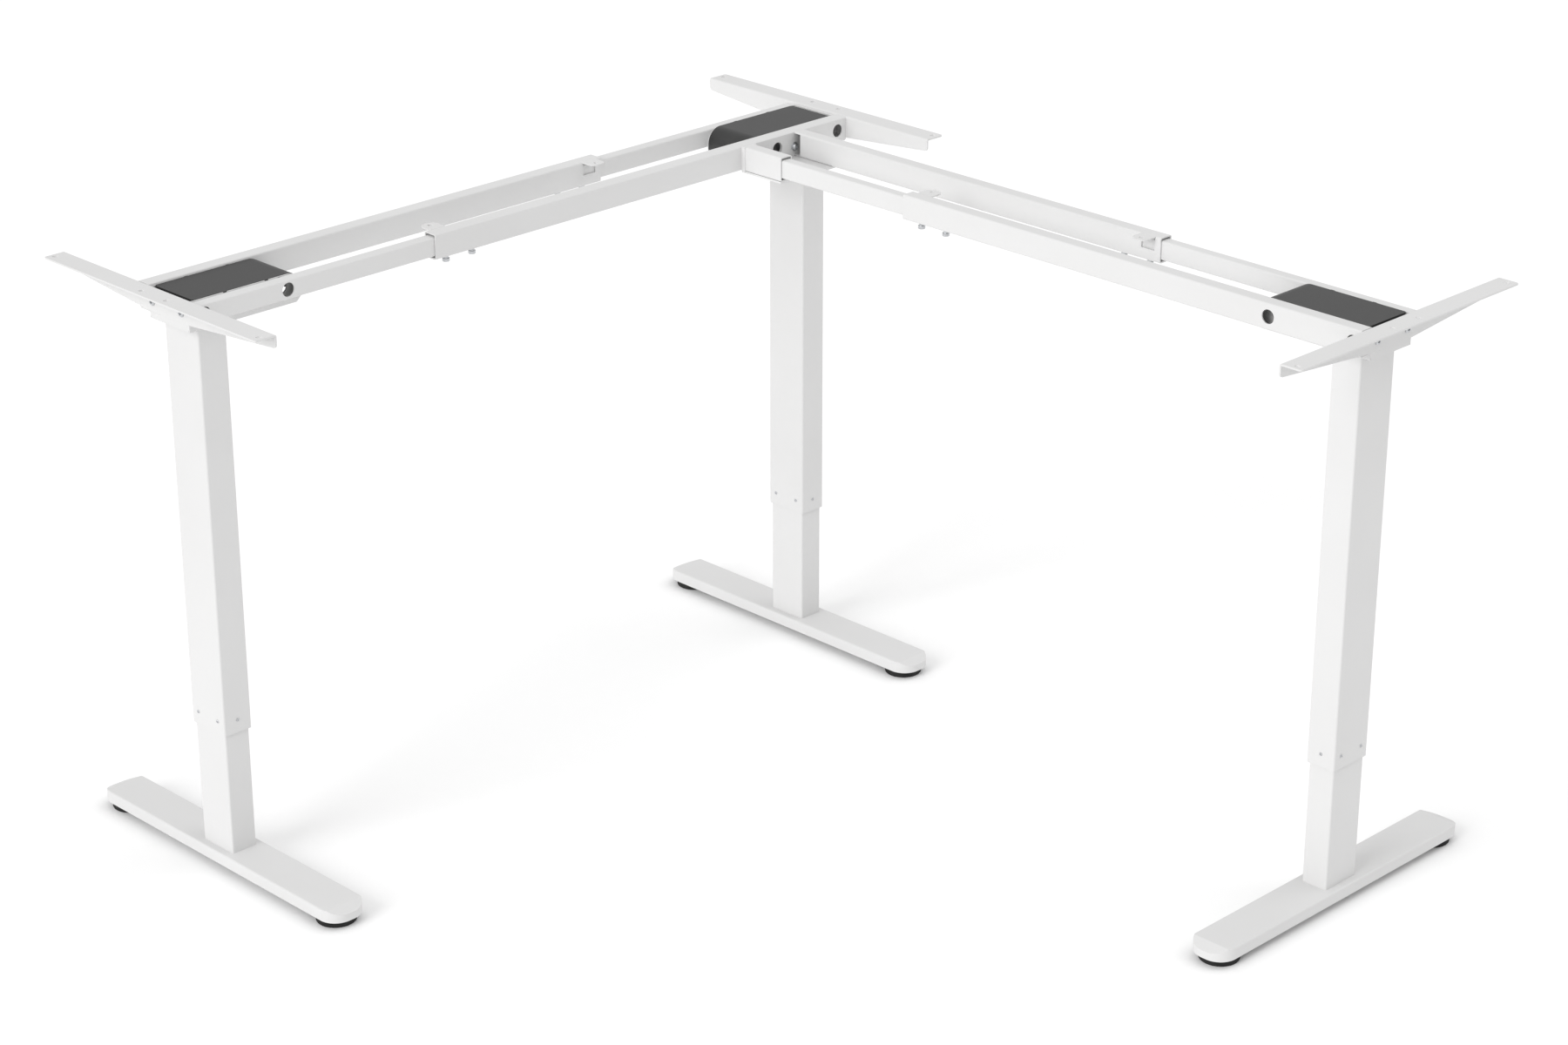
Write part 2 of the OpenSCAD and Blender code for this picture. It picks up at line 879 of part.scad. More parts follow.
module main_front_slider() {
    inner_end = main_arm - main_front_gap - rail_overlap;
    color(powder_white)
        at_main_arm()
            difference() {
                rail(slider_size, rail_offset, inner_end, main_rail_end, slider_drop);
                port(main_arm - inward_port, rail_offset);
                port(main_arm + end_outward_port, rail_offset);
            }
}

module main_rear_sleeve() {
    color(powder_white)
        at_main_arm()
            sleeve(-rail_offset, main_rear_gap, main_rail_end);
}

module main_rear_slider() {
    color(powder_white)
        at_main_arm()
            rail(slider_size, -rail_offset, -bracket_web, main_rear_gap + rail_overlap, slider_drop);
}

module side_front_sleeve() {
    color(powder_white)
        at_side_arm()
            difference() {
                sleeve(-rail_offset, side_front_gap, side_rail_end);
                port(side_arm - inward_port, -rail_offset);
                port(side_arm + end_outward_port, -rail_offset);
            }
}

module side_front_slider() {
    inner_end = side_front_gap + rail_overlap;
    color(powder_white)
        at_side_arm()
            rail(slider_size, -rail_offset, beam_face + flange_sheet, inner_end, slider_drop);
}

// The rear outer rail's front wall is cut back at the corner to reach the joint's bolt
module side_rear_sleeve() {
    color(powder_white)
        at_side_arm()
            difference() {
                sleeve(rail_offset, side_arm - side_rear_gap, beam_face);
                box_between([beam_face - cut, rail_offset - sleeve_size[0], rail_wall - sleeve_size[1]],
                    [beam_face + relief, rail_offset - sleeve_size[0] / 2 + rail_wall + cut, -rail_wall]);
            }
}

module side_rear_slider() {
    inner_end = side_arm - side_rear_gap - rail_overlap;
    color(powder_white)
        at_side_arm()
            rail(slider_size, rail_offset, inner_end, side_rail_end, slider_drop);
}

// Corner joint: a flange on the main arm, a socket for the front rail and a plate below both rails
module corner_connector() {
    x0 = beam_face;
    h = sleeve_size[1];
    near = -rail_offset - sleeve_size[0] / 2;
    far = rail_offset - sleeve_size[0] / 2;
    tongue_end = rail_offset + sleeve_size[0] / 2 - rail_wall - slip;
    tongue_inset = rail_wall + slip;
    lip = 1;
    bridge_edge = 10;
    color(powder_white)
        at_side_arm()
            difference() {
                union() {
                    difference() {
                        union() {
                            box_between([x0, near - lip, -h], [x0 + flange_sheet, far, 0]);
                            box_between([x0, far - lip, -h + tongue_inset],
                                [x0 + flange_sheet, tongue_end, -tongue_inset]);
                            box_between([x0 + flange_sheet, near - lip, -h - lip],
                                [x0 + flange_sheet + collar, near + sleeve_size[0] + lip, 0]);
                        }
                        along_x(x0 + flange_sheet, x0 + 2 * collar)
                            translate([-rail_offset, -h / 2])
                                round_rect(sleeve_size[0] - 2 * rail_wall, h - 2 * rail_wall, 1);
                    }
                    rail(sleeve_size, -rail_offset, x0 + flange_sheet, x0 + socket_length, 0);
                    box_between([x0, near, -h - bridge_sheet],
                        [x0 + socket_length, rail_offset + bridge_edge, -h]);
                }
                translate([0, side_shift - inward_port, -h / 2])
                    rod_x(port_d / 2, x0 - cut, x0 + flange_sheet + cut);
                translate([0, dome_y, -dome_z])
                    rod_x(bolt_hole_r, x0 - cut, x0 + flange_sheet + cut);
            }
}

// ---- nodes ----

foot(CORNER);  // corner_foot
foot_screws(CORNER);  // corner_foot_screws
pad(CORNER, -1);  // corner_pad_1
pad(CORNER, 1);  // corner_pad_2
lower_tube(CORNER);  // corner_lower_tube
nut(CORNER);  // corner_nut
top_glide(CORNER);  // corner_top_glide
bottom_glide(CORNER);  // corner_bottom_glide
upper_tube(CORNER);  // corner_upper_tube
tray(CORNER);  // corner_tray
bracket(CORNER);  // corner_bracket
cover(CORNER);  // corner_cover
gearbox(CORNER);  // corner_gearbox
motor(CORNER);  // corner_motor
worm_shaft(CORNER);  // corner_worm_shaft
lead_screw(CORNER);  // corner_lead_screw
corner_screws();

foot(LEFT);  // left_foot
foot_screws(LEFT);  // left_foot_screws
pad(LEFT, -1);  // left_pad_1
pad(LEFT, 1);  // left_pad_2
lower_tube(LEFT);  // left_lower_tube
nut(LEFT);  // left_nut
top_glide(LEFT);  // left_top_glide
bottom_glide(LEFT);  // left_bottom_glide
upper_tube(LEFT);  // left_upper_tube
tray(LEFT);  // left_tray
bracket(LEFT);  // left_bracket
cover(LEFT);  // left_cover
gearbox(LEFT);  // left_gearbox
motor(LEFT);  // left_motor
worm_shaft(LEFT);  // left_worm_shaft
lead_screw(LEFT);  // left_lead_screw
left_screws();

foot(RIGHT);  // right_foot
foot_screws(RIGHT);  // right_foot_screws
pad(RIGHT, -1);  // right_pad_1
pad(RIGHT, 1);  // right_pad_2
lower_tube(RIGHT);  // right_lower_tube
nut(RIGHT);  // right_nut
top_glide(RIGHT);  // right_top_glide
bottom_glide(RIGHT);  // right_bottom_glide
upper_tube(RIGHT);  // right_upper_tube
tray(RIGHT);  // right_tray
bracket(RIGHT);  // right_bracket
cover(RIGHT);  // right_cover
gearbox(RIGHT);  // right_gearbox
motor(RIGHT);  // right_motor
worm_shaft(RIGHT);  // right_worm_shaft
lead_screw(RIGHT);  // right_lead_screw
right_screws();

main_front_sleeve();
main_front_slider();
main_rear_sleeve();
main_rear_slider();
side_front_sleeve();
side_front_slider();
side_rear_sleeve();
side_rear_slider();
corner_connector();
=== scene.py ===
# %% [markdown]
# A three-leg lifting desk frame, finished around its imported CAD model.
#
# The CAD model already holds every tube, plate and housing at its true size, so those shapes stay as
# they are and only get their real finishes here. What CAD left plain is made again in this file: the
# screws with their hex sockets, the lead screws and worms with their threads, the worm wheels with
# teeth, the rubber levelling pads and the weld beads that hold the frame together.

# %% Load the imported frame
import json
import math

import bmesh
import bpy
from mathutils import Matrix, Vector


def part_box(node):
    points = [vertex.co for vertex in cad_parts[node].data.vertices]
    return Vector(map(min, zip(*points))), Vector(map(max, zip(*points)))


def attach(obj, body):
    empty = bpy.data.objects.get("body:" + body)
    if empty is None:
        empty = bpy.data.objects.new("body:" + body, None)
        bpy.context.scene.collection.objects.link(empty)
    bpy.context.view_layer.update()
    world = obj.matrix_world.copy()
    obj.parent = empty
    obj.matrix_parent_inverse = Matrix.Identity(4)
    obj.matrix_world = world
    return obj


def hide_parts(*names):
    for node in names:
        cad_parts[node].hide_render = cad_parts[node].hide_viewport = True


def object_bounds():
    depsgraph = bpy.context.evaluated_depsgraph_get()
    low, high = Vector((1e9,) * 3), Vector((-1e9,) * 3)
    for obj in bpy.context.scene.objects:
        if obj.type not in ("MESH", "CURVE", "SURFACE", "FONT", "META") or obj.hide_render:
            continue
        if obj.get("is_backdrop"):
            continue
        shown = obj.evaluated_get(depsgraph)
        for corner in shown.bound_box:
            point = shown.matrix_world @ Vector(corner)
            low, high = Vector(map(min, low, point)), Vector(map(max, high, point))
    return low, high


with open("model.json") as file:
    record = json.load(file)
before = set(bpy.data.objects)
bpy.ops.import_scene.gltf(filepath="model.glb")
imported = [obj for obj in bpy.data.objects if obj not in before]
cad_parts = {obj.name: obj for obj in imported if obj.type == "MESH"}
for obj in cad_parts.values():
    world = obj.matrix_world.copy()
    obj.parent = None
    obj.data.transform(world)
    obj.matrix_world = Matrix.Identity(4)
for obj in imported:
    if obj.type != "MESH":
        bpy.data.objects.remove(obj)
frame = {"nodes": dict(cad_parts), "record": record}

cad_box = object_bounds()
record = frame["record"]
link = bpy.context.scene.collection.objects.link
MM = 0.001

# %% [markdown]
# The frame stands on one large pale sheet. It is wide enough that its edge never shows, and flat,
# so that all six pads visibly rest on it.

# %% Floor
FLOOR_REACH = 30

corners = [(x * FLOOR_REACH, y * FLOOR_REACH, 0) for x, y in ((-1, -1), (1, -1), (1, 1), (-1, 1))]
floor_mesh = bpy.data.meshes.new("studio_floor")
floor_mesh.from_pydata(corners, [], [(0, 1, 2, 3)])
floor = bpy.data.objects.new("studio_floor", floor_mesh)
link(floor)
floor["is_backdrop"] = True
print("floor", 2 * FLOOR_REACH, "m wide")

# %% [markdown]
# A long lens from above the open side of the L keeps the arms nearly parallel, and shows all three
# legs and the tops of the rails at once. Two angles aim the camera, its heading and how far it looks
# down, so it has no tilt to either side.

# %% Camera
HEADING = math.radians(135.1756)
DOWN = math.radians(22.9206)

camera_data = bpy.data.cameras.new("camera")
camera_data.lens = 82.22
camera_data.sensor_width = 36
camera_data.clip_end = 60
camera = bpy.data.objects.new("camera", camera_data)
link(camera)
camera.location = (3.5312, -3.4891, 2.6219)
level = Vector((math.cos(HEADING), math.sin(HEADING), 0))
looking = level * math.cos(DOWN) - Vector((0, 0, math.sin(DOWN)))
camera.rotation_mode = "QUATERNION"
camera.rotation_quaternion = looking.to_track_quat("-Z", "Y")
bpy.context.scene.camera = camera
print("camera", [round(c, 3) for c in camera.location], "lens", round(camera_data.lens, 1))

# %% [markdown]
# A frame made of white bars needs light that tells its three directions apart. A wide lamp low in
# front lights the faces that look at it most. A weaker one high behind draws a soft shadow forward
# from under the feet. The dome keeps every shadow pale.

# %% Studio light
DOME = 0.77
# Heading, height above the horizon and width of each lamp in degrees, then its power
LAMPS = {"front_lamp": (-90, 26, 36, 1.40), "back_lamp": (58, 55, 44, 0.45)}


def wide_lamp(name, heading, height, width, power):
    """A lamp as wide as a part of the sky."""
    data = bpy.data.lights.new(name, "SUN")
    data.energy, data.angle = power, math.radians(width)
    lamp = bpy.data.objects.new(name, data)
    link(lamp)
    turn, lift = math.radians(heading), math.radians(height)
    level = Vector((math.cos(turn), math.sin(turn), 0))
    source = level * math.cos(lift) + Vector((0, 0, math.sin(lift)))
    lamp.rotation_mode = "QUATERNION"
    lamp.rotation_quaternion = (-source).to_track_quat("-Z", "Y")


world = bpy.data.worlds.new("studio")
world.use_nodes = True
dome = world.node_tree.nodes["Background"]
dome.inputs["Color"].default_value = (1, 1, 1, 1)
dome.inputs["Strength"].default_value = DOME
bpy.context.scene.world = world
for name, setting in LAMPS.items():
    wide_lamp(name, *setting)
bpy.context.scene.view_settings.view_transform = "Standard"
print("dome", DOME, "lamps", sorted(LAMPS))

# %% [markdown]
# Both a material and a Geometry Nodes tree are graphs, and wiring a graph by hand hides the sum that
# it works out. Two small classes let the sums be written as sums: a Wire is one socket that can be
# added and multiplied, and a Graph adds any node in one call, settings first and inputs second.

# %% Graphs written as expressions
class Wire:
    """One output socket that can stand in a Python expression."""

    def __init__(self, graph, socket):
        self.graph, self.socket = graph, socket

    def __add__(self, other):
        return self.graph.maths("ADD", self, other)

    def __sub__(self, other):
        return self.graph.maths("SUBTRACT", self, other)

    def __rsub__(self, other):
        return self.graph.maths("SUBTRACT", other, self)

    def __mul__(self, other):
        return self.graph.maths("MULTIPLY", self, other)

    __radd__ = __add__
    __rmul__ = __mul__


class Graph:
    """A node tree with one way to add a node."""

    def __init__(self, tree):
        self.tree = tree

    def node(self, kind, settings=(), inputs=(), output=0):
        made = self.tree.nodes.new(kind)
        for key, value in dict(settings).items():
            setattr(made, key, value)
        for key, value in dict(inputs).items():
            self.feed(made.inputs[key], value)
        return Wire(self, made.outputs[output])

    def feed(self, socket, value):
        for one in value if isinstance(value, list) else [value]:
            if isinstance(one, Wire):
                self.tree.links.new(one.socket, socket)
            else:
                socket.default_value = one

    def maths(self, operation, a, b=0.0):
        return self.node("ShaderNodeMath", {"operation": operation}, {0: a, 1: b})


class Finish(Graph):
    """A material on a Principled shader, with the patterns that real finishes are made of."""

    def __init__(self, name, **uniform):
        self.material = bpy.data.materials.new(name)
        self.material.use_nodes = True
        super().__init__(self.material.node_tree)
        self.shader = self.tree.nodes["Principled BSDF"]
        for socket, value in uniform.items():
            self.shader.inputs[socket.replace("_", " ")].default_value = value
        self.place = self.node("ShaderNodeTexCoord", output="Object")

    def noise(self, scale, detail):
        return self.node("ShaderNodeTexNoise", {}, {"Vector": self.place, "Scale": scale, "Detail": detail})

    def pebbles(self, scale):
        smooth = {"feature": "SMOOTH_F1"}
        return self.node("ShaderNodeTexVoronoi", smooth, {"Vector": self.place, "Scale": scale})

    def ramp(self, mask, low, high):
        """Stretches the part of a mask between low and high to 0..1."""
        return self.node("ShaderNodeMapRange", {}, {0: mask, 1: low, 2: high, 3: 0.0, 4: 1.0})

    def mix(self, mask, a, b):
        return self.node("ShaderNodeMix", {"data_type": "RGBA"}, {0: mask, 6: a, 7: b}, output=2)

    def wear(self, base, rough, height, depth, strength):
        """Feeds the patterns to the shader. Depth is the bump's real height in metres."""
        self.feed(self.shader.inputs["Base Color"], base)
        self.feed(self.shader.inputs["Roughness"], rough)
        relief = {"Height": height, "Distance": depth, "Strength": strength}
        self.feed(self.shader.inputs["Normal"], self.node("ShaderNodeBump", {}, relief, output="Normal"))
        return self.material


def grey(value, warm=0.0):
    return (value * (1 + warm), value, value * (1 - warm), 1)

# %% [markdown]
# White powder coat is dry paint melted on the steel. It flows into a faint orange peel, about a
# millimetre from crest to crest, with a much finer sandy grain on top, and its thickness drifts a
# little along a long tube. Three noises at three scales do this: the slow one shifts the colour and
# the gloss, the other two are bump only.

# %% Powder coat
def powder_coat():
    paint = Finish("white_powder_coat", Specular_IOR_Level=0.4)
    drift = paint.noise(5.0, 3.0)
    peel = paint.noise(650.0, 2.0)
    grain = paint.noise(2600.0, 1.0)
    mask = paint.ramp(drift + 0.15 * grain, 0.35, 0.75)
    tone = paint.mix(mask, grey(0.665, 0.004), grey(0.69, 0.002))
    gloss = 0.46 + 0.10 * drift + 0.06 * grain
    return paint.wear(tone, gloss, peel + 0.35 * grain, 0.00006, 0.6)


finishes = {"powder_white": powder_coat()}
print("finish", finishes["powder_white"].name)

# %% [markdown]
# The drive covers and the pads are both black, but they are not the same black. A cover is hard
# moulded plastic with a fine leather grain from its mould, which catches light as a dull grey sheen.
# A pad is soft rubber: it is darker, has no sheen, and its surface is a fine irregular pitting.

# %% Black plastic and rubber
def moulded_plastic():
    plastic = Finish("black_grained_plastic", Specular_IOR_Level=0.5)
    pebble = plastic.pebbles(900.0)
    fine = plastic.noise(2400.0, 2.0)
    haze = plastic.noise(14.0, 3.0)
    tone = plastic.mix(plastic.ramp(haze, 0.3, 0.7), grey(0.017), grey(0.026, 0.01))
    gloss = 0.34 + 0.12 * haze + 0.08 * fine
    return plastic.wear(tone, gloss, pebble + 0.3 * fine, 0.00014, 0.9)


def pad_rubber():
    rubber = Finish("black_pad_rubber", Specular_IOR_Level=0.3)
    pits = rubber.noise(1500.0, 3.0)
    bloom = rubber.noise(40.0, 3.0)
    tone = rubber.mix(rubber.ramp(bloom, 0.35, 0.8), grey(0.012), grey(0.028, 0.02))
    return rubber.wear(tone, 0.68 + 0.2 * pits, pits, 0.00008, 0.7)


finishes["cover_black"] = moulded_plastic()
finishes["pad_black"] = pad_rubber()
print("finishes", len(finishes))

# %% [markdown]
# The metals differ in how they were finished. Screws are plated in bright zinc, a thin smooth film
# that mirrors the room softly. Machined steel shows the fine rings of the lathe and a brownish trace
# of oil. The gearbox is cast, and its skin is grainy like fine sandpaper. The motor can is drawn
# steel under satin black paint. The glides and nuts are natural acetal, a milky white plastic that
# slides well. It is no metal, but it is hidden in the legs together with them.

# %% Metals and acetal
def bright_zinc():
    plating = Finish("bright_zinc_plating", Metallic=0.9)
    film = plating.noise(260.0, 3.0)
    tone = plating.mix(plating.ramp(film, 0.3, 0.7), (0.60, 0.61, 0.63, 1), (0.50, 0.51, 0.52, 1))
    return plating.wear(tone, 0.22 + 0.14 * film, film, 0.00003, 0.4)


def machined_steel():
    steel = Finish("machined_steel", Metallic=1.0)
    rings = steel.node("ShaderNodeTexWave", {"bands_direction": "Z"},
                       {"Vector": steel.place, "Scale": 900.0, "Distortion": 1.5, "Detail": 2.0})
    oil = steel.noise(55.0, 4.0)
    tone = steel.mix(steel.ramp(oil, 0.4, 0.75), grey(0.56, 0.01), (0.44, 0.38, 0.30, 1))
    return steel.wear(tone, 0.26 + 0.18 * oil, rings, 0.00002, 0.5)


def cast_aluminium():
    cast = Finish("cast_aluminium", Metallic=0.9)
    grain = cast.noise(900.0, 3.0)
    stain = cast.noise(30.0, 4.0)
    tone = cast.mix(cast.ramp(stain, 0.3, 0.75), grey(0.50, -0.01), grey(0.36, 0.02))
    return cast.wear(tone, 0.42 + 0.2 * grain, grain, 0.0001, 0.6)


def motor_paint():
    paint = Finish("satin_black_motor_paint", Specular_IOR_Level=0.5)
    peel = paint.noise(500.0, 2.0)
    dust = paint.noise(45.0, 5.0)
    tone = paint.mix(paint.ramp(dust, 0.45, 0.8), grey(0.03), grey(0.065, 0.02))
    return paint.wear(tone, 0.34 + 0.16 * dust, peel, 0.00008, 0.4)


def natural_acetal():
    acetal = Finish("natural_acetal", Specular_IOR_Level=0.45, Subsurface_Weight=0.05)
    cloud = acetal.noise(90.0, 3.0)
    scuff = acetal.noise(1200.0, 2.0)
    tone = acetal.mix(acetal.ramp(cloud, 0.3, 0.7), grey(0.72, 0.01), grey(0.66, 0.03))
    return acetal.wear(tone, 0.36 + 0.14 * scuff, scuff, 0.00004, 0.5)


finishes["zinc_plate"] = bright_zinc()
finishes["bare_steel"] = machined_steel()
finishes["die_cast"] = cast_aluminium()
finishes["motor_steel"] = motor_paint()
finishes["glide_plastic"] = natural_acetal()
print("finishes", len(finishes))

# %% [markdown]
# The floor is a seamless studio sheet. It still has a little texture, because a perfectly flat white
# looks like a hole in the picture rather than something that the frame stands on. The record names
# a material slot for every CAD piece, and that slot picks its finish.

# %% The floor's sheet, and a finish for every CAD piece
def studio_sheet():
    sheet = Finish("studio_sheet", Specular_IOR_Level=0.1)
    fibre = sheet.noise(30.0, 4.0)
    tone = sheet.mix(fibre, grey(0.975), grey(0.985))
    return sheet.wear(tone, 0.9 + 0.05 * fibre, fibre, 0.00005, 0.2)


floor_mesh.materials.append(studio_sheet())
for part in record["subparts"]:
    node = frame["nodes"][part["node"]]
    node.data.materials.clear()
    node.data.materials.append(finishes[part["material_slot"]])
print("finished CAD pieces", len(record["subparts"]))

# %% [markdown]
# Each leg is the same assembly turned to face its own way, so a piece is worked out once in a leg's
# own frame and then placed three times. In that frame X runs across the drive tray and Y points out
# to the tabletop bracket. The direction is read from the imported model: it goes from the column's
# centre to the bracket's centre.

# %% The three legs
def middle(node):
    low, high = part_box(node)
    return (low + high) / 2


class Leg:
    """A leg's place and direction, and its main heights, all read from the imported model."""

    def __init__(self, name):
        self.name = name
        self.centre = middle(f"{name}_lower_tube")
        away = middle(f"{name}_bracket") - self.centre
        if abs(away.x) > abs(away.y):
            self.out = Vector((math.copysign(1, away.x), 0, 0))
        else:
            self.out = Vector((0, math.copysign(1, away.y), 0))
        self.side = Vector((self.out.y, -self.out.x, 0))
        self.tube_low, self.tube_high = (corner.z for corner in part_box(f"{name}_upper_tube"))
        size = self.local_size(f"{name}_upper_tube")
        self.half_x, self.half_y = size.x / 2, size.y / 2
        self.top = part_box(f"{name}_bracket")[1].z

    def local_size(self, node):
        low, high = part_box(node)
        size = high - low
        return Vector((abs(size.dot(self.side)), abs(size.dot(self.out)), size.z))

    def turn(self, x, y, z):
        """A direction of the leg's own frame, in the model's frame."""
        return self.side * x + self.out * y + Vector((0, 0, z))

    def at(self, x, y, z):
        """A point of the leg's own frame, in the model's frame."""
        return Vector((self.centre.x, self.centre.y, 0)) + self.turn(x, y, z)


legs = [Leg(name) for name in ("corner", "left", "right")]
for leg in legs:
    print(leg.name, "faces", leg.out[:2], "tube", round(leg.tube_low, 3), round(leg.tube_high, 3))

# %% [markdown]
# Screws repeat dozens of times, so Geometry Nodes make them. A tree is built here in the script with
# named inputs. It is run on a bare cloud of points, each of which says which way its screw faces, and
# the result is frozen into a plain mesh for one body. Freezing also merges doubles, turns every face
# outwards and marks the sharp edges, so that round shanks look round and hex sockets stay crisp.

# %% Running a tree and freezing its result
SHARP = math.radians(32)


class NodeTool(Graph):
    """A Geometry Nodes tree with named inputs."""

    def __init__(self, name, **inputs):
        super().__init__(bpy.data.node_groups.new(name, "GeometryNodeTree"))
        face = self.tree.interface
        face.new_socket("Geometry", in_out="OUTPUT", socket_type="NodeSocketGeometry")
        face.new_socket("Geometry", in_out="INPUT", socket_type="NodeSocketGeometry")
        kinds = {float: "NodeSocketFloat", int: "NodeSocketInt"}
        for key, value in inputs.items():
            socket = face.new_socket(key, in_out="INPUT", socket_type=kinds[type(value)])
            socket.default_value = value
        face.new_socket("Material", in_out="INPUT", socket_type="NodeSocketMaterial")
        entry = self.tree.nodes.new("NodeGroupInput")
        self.input = {socket.name: Wire(self, socket) for socket in entry.outputs if socket.name}
        self.exit = self.tree.nodes.new("NodeGroupOutput")

    def finish(self, geometry):
        """Ends the tree in Realize Instances and Set Material."""
        real = self.node("GeometryNodeRealizeInstances", {}, {0: geometry})
        painted = self.node("GeometryNodeSetMaterial", {}, {0: real, "Material": self.input["Material"]})
        self.feed(self.exit.inputs[0], painted)
        return self.tree

    def vector(self, x=0.0, y=0.0, z=0.0):
        return self.node("ShaderNodeCombineXYZ", {}, {0: x, 1: y, 2: z})

    def moved(self, geometry, how, x=0.0, y=0.0, z=0.0):
        """Moves, turns or stretches a mesh, as the name of the socket says."""
        change = {"Geometry": geometry, how: self.vector(x, y, z)}
        return self.node("GeometryNodeTransform", {}, change)

    def raised(self, geometry, z):
        return self.moved(geometry, "Translation", z=z)


def tidy_mesh(mesh):
    """Closes seams, turns faces outwards and marks edges sharper than SHARP."""
    work = bmesh.new()
    work.from_mesh(mesh)
    bmesh.ops.remove_doubles(work, verts=work.verts, dist=1e-6)
    bmesh.ops.recalc_face_normals(work, faces=work.faces)
    work.to_mesh(mesh)
    work.free()
    mesh.shade_smooth()
    mesh.set_sharp_from_angle(angle=SHARP)


def freeze(name, tree, source, material, place=None, **values):
    """Runs a tree on a mesh and returns a new object that holds the plain result."""
    rough = bpy.data.objects.new(name + "_source", source)
    link(rough)
    modifier = rough.modifiers.new("tool", "NODES")
    modifier.node_group = tree
    values["Material"] = material
    for socket in tree.interface.items_tree:
        if socket.in_out == "INPUT" and socket.name in values:
            modifier[socket.identifier] = values[socket.name]
    depsgraph = bpy.context.evaluated_depsgraph_get()
    mesh = bpy.data.meshes.new_from_object(rough.evaluated_get(depsgraph))
    bpy.data.objects.remove(rough)
    mesh.name = name
    if place is not None:
        mesh.transform(place)
    tidy_mesh(mesh)
    piece = bpy.data.objects.new(name, mesh)
    link(piece)
    return piece


def finish_piece(piece, body, slot, *nodes):
    """Every piece ends the same way: it rides on a body and may stand for CAD nodes. Its slot argument is
    not used.
    """
    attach(piece, body)
    if nodes:
        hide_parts(*nodes)
    print(piece.name, "on", body, "faces", len(piece.data.polygons))
    return piece

# %% [markdown]
# A socket screw is three turned solids fused together: a head, the small chamfer on top of it and a
# shank. A hexagonal prism is then cut out of the head. Mesh Boolean does the fusing and the cutting
# once, and Instance on Points copies the finished screw to every place.

# %% Socket screw tool
def screw_tool():
    tool = NodeTool("socket_screw", head_radius=0.004, head_height=0.002, chamfer=0.0006,
                    shank_radius=0.0025, shank_length=0.006, socket=0.0018, socket_depth=0.001)
    size = tool.input
    ring = {"Vertices": 48}
    body_height = size["head_height"] - size["chamfer"]
    head = tool.node("GeometryNodeMeshCylinder", {}, ring | {
        "Radius": size["head_radius"], "Depth": body_height})
    head = tool.raised(head, body_height * 0.5)
    bevel = tool.node("GeometryNodeMeshCone", {}, ring | {
        "Radius Bottom": size["head_radius"], "Depth": size["chamfer"],
        "Radius Top": size["head_radius"] - size["chamfer"]})
    bevel = tool.raised(bevel, body_height)
    sunk = 0.5 * body_height
    shank = tool.node("GeometryNodeMeshCylinder", {}, ring | {
        "Radius": size["shank_radius"], "Depth": size["shank_length"] + sunk})
    shank = tool.raised(shank, 0.5 * sunk - 0.5 * size["shank_length"])
    solid = tool.node("GeometryNodeMeshBoolean", {"operation": "UNION", "solver": "EXACT"},
                      {"Mesh 2": [head, bevel, shank]})
    key = tool.node("GeometryNodeMeshCylinder", {}, {
        "Vertices": 6, "Radius": size["socket"], "Depth": 2.0 * size["socket_depth"]})
    key = tool.raised(key, size["head_height"])
    screw = tool.node("GeometryNodeMeshBoolean", {"operation": "DIFFERENCE", "solver": "EXACT"},
                      {"Mesh 1": solid, "Mesh 2": key})
    facing = tool.node("GeometryNodeInputNamedAttribute", {"data_type": "FLOAT_VECTOR"}, {"Name": "facing"})
    aimed = tool.node("FunctionNodeAlignRotationToVector", {"axis": "Z"}, {"Vector": facing})
    placed = tool.node("GeometryNodeInstanceOnPoints", {}, {
        "Points": size["Geometry"], "Instance": screw, "Rotation": aimed})
    return tool.finish(placed)


def screw_points(name, places):
    """A cloud of points with the direction that each screw's head faces."""
    cloud = bpy.data.meshes.new(name)
    cloud.from_pydata([place for place, _ in places], [], [])
    facing = cloud.attributes.new("facing", "FLOAT_VECTOR", "POINT")
    for point, (_, way) in zip(facing.data, places):
        point.vector = way
    return cloud


SCREW = screw_tool()
print("screw tool nodes", len(SCREW.nodes))

# %% [markdown]
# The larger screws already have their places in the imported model, where each is one loose solid in a
# shared node. Taking such a node apart gives the screws back. A turned solid has few different
# radii, so its axis is the one from which its points keep the fewest different distances. The rim of
# the head is then whatever lies furthest from that axis.

# %% Finding screws in a CAD node
def islands(node):
    """The separate solids of a CAD node, each as a list of its points."""
    work = bmesh.new()
    work.from_mesh(frame["nodes"][node].data)
    bmesh.ops.remove_doubles(work, verts=work.verts, dist=1e-6)
    waiting = set(work.verts)
    found = []
    while waiting:
        group, edge = set(), [waiting.pop()]
        while edge:
            vert = edge.pop()
            group.add(vert)
            for side in vert.link_edges:
                other = side.other_vert(vert)
                if other in waiting:
                    waiting.remove(other)
                    edge.append(other)
        found.append([vert.co.copy() for vert in group])
    work.free()
    return found


